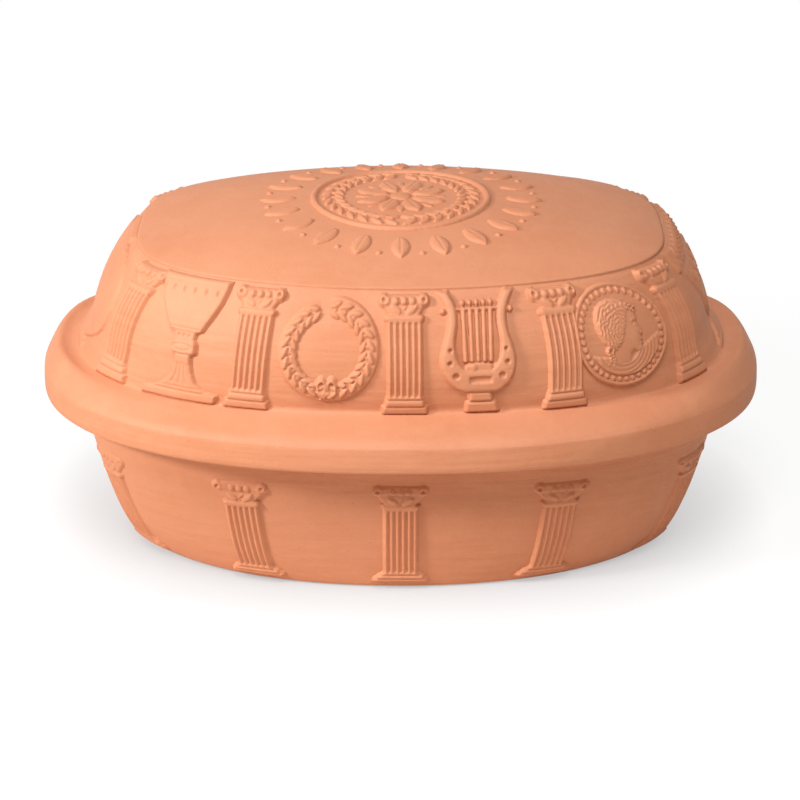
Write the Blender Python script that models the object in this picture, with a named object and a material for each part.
# Oval clay roaster: a deep dish and the domed lid that caps it, both press-moulded terracotta.
# Metres, +Z up. The origin is under the middle of the dish, +X runs along its length.

from math import atan2, cos, pi, radians, sin

import bmesh
import bpy
from mathutils import Vector

MM = 0.001

# Plan of the lid's brim, which is the widest outline. A squareness of 2 is an ellipse,
# and a higher one pulls the outline out into its corners.
LENGTH = 355 * MM
WIDTH = 245.6 * MM
BRIM_SQUARENESS = 2.26

# Fit of the lid on the dish
SEAT_GAP = 0.3 * MM
LIP_CLEARANCE = 1.2 * MM
LIP_THICKNESS = 7 * MM
LIP_DROP = 11.7 * MM

# Dish
DISH_HEIGHT = 85.7 * MM
FLANGE_THICKNESS = 12.4 * MM
FLANGE_EDGE_RADIUS = 2 * MM
FLANGE_FILLET = 4 * MM
DISH_WALL = 7.5 * MM
DISH_FLOOR = 8 * MM
DISH_WALL_LEVELS = (0.07, 0.17, 0.35, 0.6, 0.85)
DISH_INSET = 20.6 * MM            # from the brim's outline to the top of the dish's wall
DISH_LEAN_END = 20 * MM
DISH_LEAN_SIDE = 12.2 * MM
DISH_TOP_SQUARENESS = (2.9, 3.3)
DISH_FOOT_SQUARENESS = (2.12, 2.08)
DISH_TUCK = 0.265               # share of the lean that lies in the rounded foot of the wall
DISH_TUCK_POWER = 4.5
FOOT_EDGE = 1.6 * MM
INNER_FILLET = 14 * MM

# Lid's brim, from its lower edge up
BAND_HEIGHT = 10 * MM
BAND_LEAN = 1.4 * MM
FACE_LEAN = 6 * MM              # how far the slanted face above the band comes in
CREST_HEIGHT = 26 * MM
CREST_INSET = 12.5 * MM
CREST_ROUND = 0.9 * MM          # how far the crest drops where it meets the slanted face
LIP_EDGE = 1.5 * MM
VALLEY_DROP = 3.4 * MM          # the wall's foot lies this far below the crest

# Lid's wall and dome
FOOT_INSET_END = 26.5 * MM
FOOT_INSET_SIDE = 21.5 * MM
FOOT_SQUARENESS = (2.38, 2.38)
LID_WALL_HEIGHT = 57 * MM
SHOULDER_LEAN_END = 23.2 * MM
SHOULDER_LEAN_SIDE = 12.1 * MM
SHOULDER_SQUARENESS = (1.75, 3.3)
WALL_SWELL = 7.6 * MM
DOME_RISE = 14.2 * MM
DOME_POWER = 2.8
LID_THICKNESS = 7.5 * MM
LID_WALL_LEVELS = (1, 0.84, 0.58, 0.3, 0)

# Where the figures stand, in degrees along the front from its left end. Each place is given at the
# wall's foot, half way up and at its top. The back repeats the front, turned half round.
LID_COLUMNS = (
    (20.4, 22.9, 24.8), (52.4, 53.5, 51.7), (90.9, 90.9, 90.7), (129.1, 129.1, 130.5), (161.2, 159.2, 157),
)
DISH_COLUMNS = (
    (20.9, 21.9, 23.6), (50.3, 50.9, 51.7), (90, 90, 90), (129.7, 129.1, 128.3), (159.1, 158.1, 156.4),
)
GOBLET_PLACE = (38.6, 39.6, 36.3)
WREATH_PLACE = (71.6, 71.6, 71.6)
LYRE_PLACE = (110.6, 109.5, 111.6)
COIN_PLACE = (142.8, 142.8, 142.8)
POT_PLACE = (0, 0, 0)
KRATER_PLACE = (180, 180, 180)

# Columns
SHAFT_WIDTH = 16.4 * MM
LID_CAPITAL_WIDTH = 25 * MM
LID_PLINTH_WIDTH = 23.3 * MM
DISH_CAPITAL_WIDTH = 27.5 * MM
DISH_PLINTH_WIDTH = 28.6 * MM
COLUMN_RELIEF = 2.2 * MM
FLUTES = 5
FLUTE_DEPTH = 1.1 * MM
RELIEF_SINK = 2.5 * MM          # how far each raised figure is rooted in the wall
LID_COLUMN_SPAN = (0.005, 0.955)
DISH_COLUMN_SPAN = (0.057, 0.839)

# Figures between the lid's columns
WREATH_RADIUS = 18.8 * MM
WREATH_BREADTH = 8.8 * MM
LEAF_PAIRS = 11
COIN_RADIUS = 23.8 * MM
COIN_RIM = 3 * MM
COIN_RELIEF = 1.3 * MM          # of its sunken face
HEAD_HEIGHT = 24 * MM
FIGURE_MIDDLE = 0.525           # share up the wall of the wreath's and the coin's centres
LYRE_WIDTH = 35 * MM
STRINGS = 5
STRING_HALF = 0.9 * MM
FIGURE_RELIEF = 2.4 * MM
GOBLET_WIDTH = 39 * MM
POT_WIDTH = 98 * MM
KRATER_WIDTH = 78 * MM

# Rows of the vessels: share up the wall, share of the width, share of the relief
GOBLET_ROWS = (
    (0.014, 1, 0.8), (0.09, 1, 0.8), (0.11, 0.6, 0.9), (0.2, 0.32, 1), (0.38, 0.2, 1),
    (0.41, 0.31, 1.2), (0.49, 0.31, 1.2), (0.51, 0.26, 1), (0.575, 0.26, 1), (0.6, 0.44, 1.05),
    (0.74, 0.69, 1.15), (0.89, 0.865, 1.1), (0.96, 0.885, 1.05),
)
POT_ROWS = (
    (0.02, 0.51, 1), (0.07, 0.51, 1), (0.09, 0.4, 1), (0.17, 0.62, 1.05), (0.25, 0.79, 1.1),
    (0.4, 0.96, 1.15), (0.54, 1, 1.15), (0.67, 0.965, 1.15), (0.78, 0.89, 1.1), (0.86, 0.77, 1.1),
    (0.9, 0.62, 1.05), (0.92, 0.32, 1), (0.965, 0.33, 1),
)
KRATER_ROWS = (
    (0.014, 0.64, 0.9), (0.065, 0.64, 0.9), (0.08, 0.5, 1), (0.17, 0.38, 1), (0.25, 0.34, 1.05),
    (0.32, 0.46, 1.1), (0.47, 0.6, 1.15), (0.68, 0.82, 1.15), (0.78, 0.92, 1.15), (0.8, 1, 1.2),
    (0.965, 1, 1.1),
)

# Medallion on the dome: a rosette, a garland, a ring and a border of leaves
MEDALLION_RADIUS = 44 * MM
MEDALLION_RING = 3 * MM
MEDALLION_RELIEF = 1.4 * MM
HUB_RADIUS = 5.2 * MM
PETALS = 8
PETAL_START = 6 * MM
PETAL_LENGTH = 17 * MM
PETAL_WIDTH = 9.5 * MM
GARLAND_RADIUS = 33 * MM
GARLAND_BREADTH = 11 * MM
GARLAND_PAIRS = 13
BORDER_LEAVES = 20
BORDER_START = 51 * MM
BORDER_LENGTH = 18 * MM
BORDER_WIDTH = 9 * MM

# Fineness of the mesh, and the angle under which neighbouring faces count as one flat face
SEGMENTS = 44
WALK_STEPS = 4
FLAT_ANGLE = 1.4

TERRACOTTA = (0.78, 0.36, 0.19, 1)
ROUGHNESS = 0.8


# Heights that follow from the sizes above
flange_under = DISH_HEIGHT - FLANGE_THICKNESS
seat_height = DISH_HEIGHT + SEAT_GAP
lip_bottom = seat_height - LIP_DROP
crest_top = lip_bottom + CREST_HEIGHT
lid_foot = crest_top - VALLEY_DROP


def clear_scene():
    for thing in list(bpy.data.objects):
        bpy.data.objects.remove(thing, do_unlink=True)


def new_collection(name):
    group = bpy.data.collections.new(name)
    bpy.context.scene.collection.children.link(group)
    return group


def clay(name):
    material = bpy.data.materials.new(name)
    material.use_nodes = True
    shader = material.node_tree.nodes["Principled BSDF"]
    shader.inputs["Base Color"].default_value = TERRACOTTA
    shader.inputs["Roughness"].default_value = ROUGHNESS
    shader.inputs["Metallic"].default_value = 0
    return material


# Outlines and walls

def reach(bearing, half_length, half_width, squareness):
    """Distance from the axis to the oval |x/a|^p + |y/b|^q = 1, found by halving."""
    along = abs(cos(bearing)) / half_length
    across = abs(sin(bearing)) / half_width
    near = 0.0
    far = half_length + half_width
    for _ in range(40):
        middle = (near + far) / 2
        if (middle * along) ** squareness[0] + (middle * across) ** squareness[1] < 1:
            near = middle
        else:
            far = middle
    return middle


def on_oval(bearing, oval):
    half_length, half_width, squareness, height = oval
    distance = reach(bearing, half_length, half_width, squareness)
    return Vector((distance * cos(bearing), distance * sin(bearing), height))


def blend(low, high, share):
    return low + (high - low) * share


def brim_oval(inset, height):
    return (LENGTH / 2 - inset, WIDTH / 2 - inset, (BRIM_SQUARENESS, BRIM_SQUARENESS), height)


def inset_oval(oval, inset, height):
    return (oval[0] - inset, oval[1] - inset, oval[2], height)


def dish_oval(share):
    """The dish's outer wall, from 0 at the foot to 1 under the flange."""
    lean = (1 - DISH_TUCK) * (1 - share) + DISH_TUCK * (1 - share) ** DISH_TUCK_POWER
    half_length = LENGTH / 2 - DISH_INSET - DISH_LEAN_END * lean
    half_width = WIDTH / 2 - DISH_INSET - DISH_LEAN_SIDE * lean
    squareness = [blend(top, foot, lean) for top, foot in zip(DISH_TOP_SQUARENESS, DISH_FOOT_SQUARENESS)]
    return (half_length, half_width, squareness, flange_under * share)


def lid_oval(share):
    """The lid's outer wall, from 0 at the brim to 1 at the shoulder."""
    swell = WALL_SWELL * 4 * share * (1 - share)
    half_length = LENGTH / 2 - FOOT_INSET_END - SHOULDER_LEAN_END * share + swell
    half_width = WIDTH / 2 - FOOT_INSET_SIDE - SHOULDER_LEAN_SIDE * share + swell
    squareness = [blend(foot, top, share) for foot, top in zip(FOOT_SQUARENESS, SHOULDER_SQUARENESS)]
    return (half_length, half_width, squareness, lid_foot + LID_WALL_HEIGHT * share)


def dome_oval(share, drop=0.0):
    """The lid's dome, from 1 at the shoulder towards 0 at the top."""
    half_length, half_width, squareness, height = lid_oval(1)
    rise = DOME_RISE * (1 - share ** DOME_POWER)
    return (half_length * share, half_width * share, squareness, height + rise - drop)


def dish_wall(bearing, share):
    return on_oval(bearing, dish_oval(share))


def lid_wall(bearing, share):
    return on_oval(bearing, lid_oval(share))


def dome(bearing, share):
    return on_oval(bearing, dome_oval(share))


# Solids

def link(name, mesh, group, material=None):
    body = bpy.data.objects.new(name, mesh)
    group.objects.link(body)
    if material:
        mesh.materials.append(material)
    return body


def loft(name, ovals):
    """A closed skin through a chain of ovals, with a flat face on the first and the last."""
    shape = bmesh.new()
    bearings = [atan2(sin(turn) * WIDTH, cos(turn) * LENGTH)
                for turn in (2 * pi * step / SEGMENTS for step in range(SEGMENTS))]
    rings = [[shape.verts.new(on_oval(bearing, oval)) for bearing in bearings] for oval in ovals]
    for low, high in zip(rings, rings[1:]):
        for step in range(SEGMENTS):
            after = (step + 1) % SEGMENTS
            shape.faces.new((low[step], low[after], high[after], high[step]))
    shape.faces.new(reversed(rings[0]))
    shape.faces.new(rings[-1])
    bmesh.ops.recalc_face_normals(shape, faces=shape.faces)
    mesh = bpy.data.meshes.new(name)
    shape.to_mesh(mesh)
    shape.free()
    return mesh


def dish_shell():
    wall_top = dish_oval(1)
    flange = brim_oval(LIP_THICKNESS + LIP_CLEARANCE, 0)
    ovals = [inset_oval(dish_oval(0), FOOT_EDGE, 0), dish_oval(FOOT_EDGE / flange_under)]
    for share in DISH_WALL_LEVELS:
        ovals.append(dish_oval(share))
    fillet_start = 1 - FLANGE_FILLET / flange_under
    ovals.append(dish_oval(fillet_start))
    ovals.append(inset_oval(wall_top, -FLANGE_FILLET / 3, flange_under - FLANGE_FILLET / 3))
    ovals.append(inset_oval(flange, FLANGE_EDGE_RADIUS, flange_under))
    ovals.append(inset_oval(flange, 0, flange_under + FLANGE_EDGE_RADIUS))
    ovals.append(inset_oval(flange, 0, DISH_HEIGHT - FLANGE_EDGE_RADIUS))
    ovals.append(inset_oval(flange, FLANGE_EDGE_RADIUS, DISH_HEIGHT))
    ovals.append(inset_oval(wall_top, DISH_WALL - FLANGE_EDGE_RADIUS, DISH_HEIGHT))
    ovals.append(inset_oval(wall_top, DISH_WALL, DISH_HEIGHT - FLANGE_EDGE_RADIUS))
    fillet_top = (DISH_FLOOR + INNER_FILLET) / flange_under
    for share in (0.9, 0.5, fillet_top):
        ovals.append(inset_oval(dish_oval(share), DISH_WALL, flange_under * share))
    for turn in (radians(45), radians(90)):
        height = DISH_FLOOR + INNER_FILLET * (1 - sin(turn))
        inset = DISH_WALL + INNER_FILLET * (1 - cos(turn))
        ovals.append(inset_oval(dish_oval(height / flange_under), inset, height))
    return loft("base", ovals)


def lid_shell():
    crease = lip_bottom + BAND_HEIGHT
    cavity = LIP_THICKNESS
    ovals = [dome_oval(0.35), dome_oval(0.65), dome_oval(0.87)]
    for share in LID_WALL_LEVELS:
        ovals.append(lid_oval(share))
    # the brim, from its valley over the crest and down the slanted face to the band
    ovals.append(brim_oval(blend(CREST_INSET, FOOT_INSET_SIDE, 0.55), crest_top - VALLEY_DROP * 0.45))
    ovals.append(brim_oval(CREST_INSET, crest_top))
    ovals.append(brim_oval(blend(BAND_LEAN + FACE_LEAN, CREST_INSET, 0.3), crest_top - CREST_ROUND))
    ovals.append(brim_oval(BAND_LEAN + FACE_LEAN * 0.86, blend(crease, crest_top, 0.76)))
    ovals.append(brim_oval(BAND_LEAN + FACE_LEAN * 0.1, crease + LIP_EDGE))
    ovals.append(brim_oval(BAND_LEAN * 0.8, crease - LIP_EDGE))
    ovals.append(brim_oval(0, lip_bottom + LIP_EDGE * 1.6))
    # under the lip, up its inner side, and over the ledge that rests on the dish
    ovals.append(brim_oval(LIP_EDGE, lip_bottom))
    ovals.append(brim_oval(cavity - LIP_EDGE, lip_bottom))
    ovals.append(brim_oval(cavity, lip_bottom + LIP_EDGE))
    ovals.append(brim_oval(cavity, seat_height))
    ovals.append(inset_oval(lid_oval(0), LID_THICKNESS - LIP_EDGE, seat_height))
    ovals.append(inset_oval(lid_oval(0), LID_THICKNESS, seat_height + LIP_EDGE))
    for share in (0.3, 0.65):
        ovals.append(inset_oval(lid_oval(share), LID_THICKNESS, lid_oval(share)[3]))
    ovals.append(inset_oval(lid_oval(0.9), LID_THICKNESS * 1.25, lid_oval(0.9)[3]))
    ovals.append(inset_oval(dome_oval(0.9, LID_THICKNESS), 0, dome_oval(0.9, LID_THICKNESS)[3]))
    ovals.append(dome_oval(0.62, LID_THICKNESS))
    ovals.append(dome_oval(0.3, LID_THICKNESS))
    return loft("lid", ovals)


# Raised figures, drawn flat and then laid on a wall

def at_share(place, share):
    """A place's bearing at a share of the wall, on the parabola through the three that are given."""
    foot, middle, top = place
    straight = blend(foot, top, share)
    return straight + (middle - (foot + top) / 2) * 4 * share * (1 - share)


def front(place):
    return tuple(radians(180 + bearing) for bearing in place)


def back(place):
    return tuple(radians(bearing) for bearing in place)


def walk(wall, bearing, share, across):
    """The bearing that is reached by going a distance along the wall at one level."""
    for _ in range(WALK_STEPS):
        aside = wall(bearing + 0.01, share) - wall(bearing - 0.01, share)
        foot = wall(bearing, share) + aside.normalized() * (across / WALK_STEPS)
        bearing = atan2(foot.y, foot.x)
    return bearing


def laid_on(wall, place, across, share, height):
    """The point of a figure: across the wall from its place, up it by a share, and out from it."""
    bearing = walk(wall, at_share(place, share), share, across)
    sideways = wall(bearing + 0.005, share) - wall(bearing - 0.005, share)
    upwards = wall(bearing, share + 0.01) - wall(bearing, share - 0.01)
    return wall(bearing, share) + sideways.cross(upwards).normalized() * height


def raised(name, rows, group):
    """A closed solid through rows of points, each row a loop of the same number of points."""
    shape = bmesh.new()
    loops = [[shape.verts.new(point) for point in row] for row in rows]
    count = len(rows[0])
    for low, high in zip(loops, loops[1:]):
        for step in range(count):
            after = (step + 1) % count
            shape.faces.new((low[step], low[after], high[after], high[step]))
    shape.faces.new(reversed(loops[0]))
    shape.faces.new(loops[-1])
    return finish_figure(name, shape, group)


def raised_ring(name, rows, group):
    """The same, with the last row joined to the first one."""
    shape = bmesh.new()
    loops = [[shape.verts.new(point) for point in row] for row in rows]
    count = len(rows[0])
    for low, high in zip(loops, loops[1:] + loops[:1]):
        for step in range(count):
            after = (step + 1) % count
            shape.faces.new((low[step], low[after], high[after], high[step]))
    return finish_figure(name, shape, group)


def finish_figure(name, shape, group):
    bmesh.ops.triangulate(shape, faces=shape.faces)
    bmesh.ops.recalc_face_normals(shape, faces=shape.faces)
    mesh = bpy.data.meshes.new(name)
    shape.to_mesh(mesh)
    shape.free()
    figure = link(name, mesh, group)
    figure.hide_render = True
    figure.display_type = "WIRE"
    return figure


def upright(name, wall, place, profile, group):
    """A figure built up in level rows. Each row gives its share up the wall and its face's points."""
    rows = []
    for share, face in profile:
        edge = face[0][0], face[-1][0]
        points = [(edge[0], -RELIEF_SINK)] + face + [(edge[1], -RELIEF_SINK)]
        rows.append([laid_on(wall, place, across, share, height) for across, height in points])
    return raised(name, rows, group)


def flat_face(width, relief, points):
    """A level row's face, flat but for its edges, with the given number of points."""
    return [(width * (step / (points - 1) - 0.5), relief) for step in range(points)]


def fluted_face(width, relief):
    """A level row's face with ridges and flutes in turn."""
    points = 2 * FLUTES + 3
    face = []
    for step in range(points):
        sunk = FLUTE_DEPTH if step % 2 == 0 else 0
        face.append((width * (step / (points - 1) - 0.5), relief - sunk))
    return face


def column(name, wall, place, span, widths, group):
    """Stepped plinth, fluted shaft, and a capital that flares to its abacus."""
    points = 2 * FLUTES + 3
    bottom, top = span
    plinth, capital = widths

    def level(share):
        return blend(bottom, top, share)

    profile = [
        (level(0), flat_face(plinth, COLUMN_RELIEF, points)),
        (level(0.07), flat_face(plinth, COLUMN_RELIEF, points)),
        (level(0.09), flat_face(plinth * 0.84, COLUMN_RELIEF * 0.9, points)),
        (level(0.16), fluted_face(SHAFT_WIDTH, COLUMN_RELIEF)),
        (level(0.45), fluted_face(SHAFT_WIDTH, COLUMN_RELIEF)),
        (level(0.76), fluted_face(SHAFT_WIDTH, COLUMN_RELIEF)),
        (level(0.81), flat_face(SHAFT_WIDTH * 1.1, COLUMN_RELIEF * 1.1, points)),
        (level(0.94), flat_face(capital * 0.95, COLUMN_RELIEF * 1.25, points)),
        (level(1), flat_face(capital, COLUMN_RELIEF * 1.3, points)),
    ]
    return upright(name, wall, place, profile, group)


def vessel(name, place, width, rows, points, group):
    """A goblet, pot or krater from its foot to its rim."""
    profile = [(share, flat_face(width * part, FIGURE_RELIEF * relief, points))
               for share, part, relief in rows]
    return upright(name, lid_wall, place, profile, group)


def figure_point(place, across, up, height, middle=0.5):
    """The same as laid_on, for the lid's wall, with the height up it in metres from a middle share."""
    return laid_on(lid_wall, place, across, middle + up / LID_WALL_HEIGHT, height)


def strip(name, place, path, group, middle=0.5):
    """A raised strip along a path of (across, up, half width, relief)."""
    rows = []
    for step, (across, up, half, relief) in enumerate(path):
        before = path[max(step - 1, 0)]
        after = path[min(step + 1, len(path) - 1)]
        run = Vector((after[0] - before[0], after[1] - before[1])).normalized()
        side = Vector((-run.y, run.x)) * half
        points = [(across - side.x, up - side.y, -RELIEF_SINK), (across - side.x, up - side.y, relief * 0.7),
                  (across, up, relief), (across + side.x, up + side.y, relief * 0.7),
                  (across + side.x, up + side.y, -RELIEF_SINK)]
        rows.append([figure_point(place, *point, middle) for point in points])
    return raised(name, rows, group)


def garland(name, spot, radius, breadth, pairs, relief, group):
    """A ring of paired leaves, open at the top, whose outline swells at each pair."""
    steps = 2 * pairs
    gap = radians(9)
    rows = []
    for step in range(steps + 1):
        turn = pi / 2 + gap + (2 * pi - 2 * gap) * step / steps
        half = breadth / 2 * (1 if step % 2 else 0.76)
        row = []
        for side, height in ((-1, -RELIEF_SINK), (-1, relief * 0.5), (0, relief),
                             (1, relief * 0.5), (1, -RELIEF_SINK)):
            distance = radius + side * half
            row.append(spot(distance * cos(turn), distance * sin(turn), height))
        rows.append(row)
    return raised(name, rows, group)


def wreath(name, place, group):

    def spot(across, up, height):
        return figure_point(place, across, up, height, FIGURE_MIDDLE)

    return garland(name, spot, WREATH_RADIUS, WREATH_BREADTH, LEAF_PAIRS, FIGURE_RELIEF * 1.05, group)


def coin(name, place, group):
    """A disc with a raised rim."""
    steps = 24
    inside = COIN_RADIUS - COIN_RIM
    rows = []
    face = [(inside * share, COIN_RELIEF) for share in (0.96, 0.45)]
    edge = [(COIN_RADIUS, -RELIEF_SINK), (COIN_RADIUS, FIGURE_RELIEF), (inside, FIGURE_RELIEF)]
    for distance, height in edge + face:
        row = []
        for step in range(steps):
            turn = 2 * pi * step / steps
            spot = (distance * cos(turn), distance * sin(turn), height)
            row.append(figure_point(place, *spot, FIGURE_MIDDLE))
        rows.append(row)
    return raised(name, rows, group)


def head(name, place, group):
    """A plain head and neck in profile for the coin: an egg over a tapered neck, with no features."""
    half = HEAD_HEIGHT / 2
    rows = ((-1.2, 0.45, 1), (-0.6, 0.36, 1.1), (-0.2, 0.62, 1.2),
            (0.35, 0.8, 1.2), (0.8, 0.6, 1.1), (1.05, 0.2, 0.9))
    path = [(0, half * up, half * breadth, FIGURE_RELIEF * relief) for up, breadth, relief in rows]
    return strip(name, place, path, group, FIGURE_MIDDLE)


def lyre(name, place, group):
    """Two horns that curl out at the top, a crossbar with strings, a sound box and a stepped stand."""
    half = LYRE_WIDTH / 2

    def drawn(piece, rows, relief=1.0):
        """One strip, its rows given in half widths across and in wall heights up from the middle."""
        path = [(half * across, LID_WALL_HEIGHT * up, half * breadth, FIGURE_RELIEF * relief)
                for across, up, breadth in rows]
        strip(name + "_" + piece, place, path, group)

    horn = ((0.55, -0.2, 0.26), (0.77, -0.09, 0.22), (0.8, 0.03, 0.16), (0.74, 0.16, 0.125),
            (0.7, 0.27, 0.11), (0.77, 0.37, 0.1), (0.98, 0.45, 0.06))
    drawn("right_horn", horn)
    drawn("left_horn", [(-across, up, breadth) for across, up, breadth in horn])
    drawn("bar", ((-0.66, 0.345, 0.075), (0, 0.345, 0.075), (0.66, 0.345, 0.075)))
    drawn("box", ((0, -0.315, 0.4), (0, -0.27, 0.72), (0, -0.2, 0.9), (0, -0.13, 0.66)))
    drawn("bridge", ((0, -0.15, 0.38), (0, -0.065, 0.36)))
    drawn("stand", ((0, -0.478, 0.53), (0, -0.4, 0.45), (0, -0.38, 0.37), (0, -0.31, 0.35)))
    for number in range(STRINGS):
        across = 0.4 * (2 * number / (STRINGS - 1) - 1)
        breadth = STRING_HALF / half
        drawn("string_" + str(number + 1), [(across, up, breadth) for up in (-0.08, 0.12, 0.36)], 0.8)


def on_dome(across, along, height):
    """A point raised from the dome, given in plan."""
    bearing = atan2(along, across)
    half_length, half_width, squareness, _ = lid_oval(1)
    share = Vector((across, along)).length / reach(bearing, half_length, half_width, squareness)
    return Vector((across, along, dome(bearing, share).z + height))


def petal(name, turn, start, length, width, group):
    """A pointed leaf on the dome that grows outwards."""
    edge = 0.2 * MEDALLION_RELIEF
    rows = []
    for share, breadth, height in ((0, 0.3, 0.6), (0.5, 1, 1), (0.85, 0.72, 0.9), (1, 0.15, 0.5)):
        distance = start + length * share
        row = []
        for side, lift in ((-1, -RELIEF_SINK), (-1, edge), (0, MEDALLION_RELIEF * height),
                           (1, edge), (1, -RELIEF_SINK)):
            aside = side * breadth * width / 2
            across = distance * cos(turn) - aside * sin(turn)
            along = distance * sin(turn) + aside * cos(turn)
            row.append(on_dome(across, along, lift))
        rows.append(row)
    return raised(name, rows, group)


def medallion(group):
    steps = 32
    rows = []
    for step in range(steps):
        turn = 2 * pi * step / steps
        row = []
        for inset, height in ((MEDALLION_RING, -RELIEF_SINK), (MEDALLION_RING, 0),
                              (MEDALLION_RING / 2, MEDALLION_RELIEF), (0, 0), (0, -RELIEF_SINK)):
            radius = MEDALLION_RADIUS - inset
            row.append(on_dome(radius * cos(turn), radius * sin(turn), height))
        rows.append(row)
    raised_ring("medallion_ring", rows, group)
    sizes = (GARLAND_RADIUS, GARLAND_BREADTH, GARLAND_PAIRS, MEDALLION_RELIEF)
    garland("medallion_garland", on_dome, *sizes, group)
    for number in range(PETALS):
        turn = 2 * pi * (number + 0.5) / PETALS
        petal("medallion_petal_" + str(number + 1), turn, PETAL_START, PETAL_LENGTH, PETAL_WIDTH, group)
    for number in range(BORDER_LEAVES):
        turn = 2 * pi * number / BORDER_LEAVES
        petal("medallion_leaf_" + str(number + 1), turn, BORDER_START, BORDER_LENGTH, BORDER_WIDTH, group)
    rows = []
    for share, height in ((1, -RELIEF_SINK), (1, 0.2 * MEDALLION_RELIEF), (0.5, MEDALLION_RELIEF)):
        radius = HUB_RADIUS * share
        turns = [2 * pi * step / PETALS for step in range(PETALS)]
        rows.append([on_dome(radius * cos(turn), radius * sin(turn), height) for turn in turns])
    raised("medallion_hub", rows, group)


def lid_figures(group):
    """The frieze: columns all round, four figures on each long side, a pot and a krater on the ends."""
    widths = (LID_PLINTH_WIDTH, LID_CAPITAL_WIDTH)
    for side, turned in (("front", front), ("back", back)):
        for number, place in enumerate(LID_COLUMNS):
            name = side + "_column_" + str(number + 1)
            column(name, lid_wall, turned(place), LID_COLUMN_SPAN, widths, group)
        vessel(side + "_goblet", turned(GOBLET_PLACE), GOBLET_WIDTH, GOBLET_ROWS, 4, group)
        wreath(side + "_wreath", turned(WREATH_PLACE), group)
        lyre(side + "_lyre", turned(LYRE_PLACE), group)
        coin(side + "_coin", turned(COIN_PLACE), group)
        head(side + "_head", turned(COIN_PLACE), group)
    vessel("pot", front(POT_PLACE), POT_WIDTH, POT_ROWS, 8, group)
    vessel("krater", front(KRATER_PLACE), KRATER_WIDTH, KRATER_ROWS, 7, group)
    medallion(group)


def dish_figures(group):
    widths = (DISH_PLINTH_WIDTH, DISH_CAPITAL_WIDTH)
    for side, turned in (("front", front), ("back", back)):
        for number, place in enumerate(DISH_COLUMNS):
            name = side + "_dish_column_" + str(number + 1)
            column(name, dish_wall, turned(place), DISH_COLUMN_SPAN, widths, group)


def raise_figures(body, group):
    joined = body.modifiers.new("figures", "BOOLEAN")
    joined.operation = "UNION"
    joined.operand_type = "COLLECTION"
    joined.collection = group
    joined.solver = "EXACT"
    merged = body.modifiers.new("flat_faces", "DECIMATE")
    merged.decimate_type = "DISSOLVE"
    merged.angle_limit = radians(FLAT_ANGLE)


def smooth(mesh):
    mesh.shade_smooth()
    mesh.set_sharp_from_angle(angle=radians(35))


def main():
    clear_scene()
    parts = new_collection("clay_roaster")
    dish_relief = new_collection("dish_relief")
    lid_relief = new_collection("lid_relief")

    base = link("base", dish_shell(), parts, clay("dish_clay"))
    smooth(base.data)
    dish_figures(dish_relief)
    raise_figures(base, dish_relief)

    lid = link("lid", lid_shell(), parts, clay("lid_clay"))
    smooth(lid.data)
    lid_figures(lid_relief)
    raise_figures(lid, lid_relief)


main()
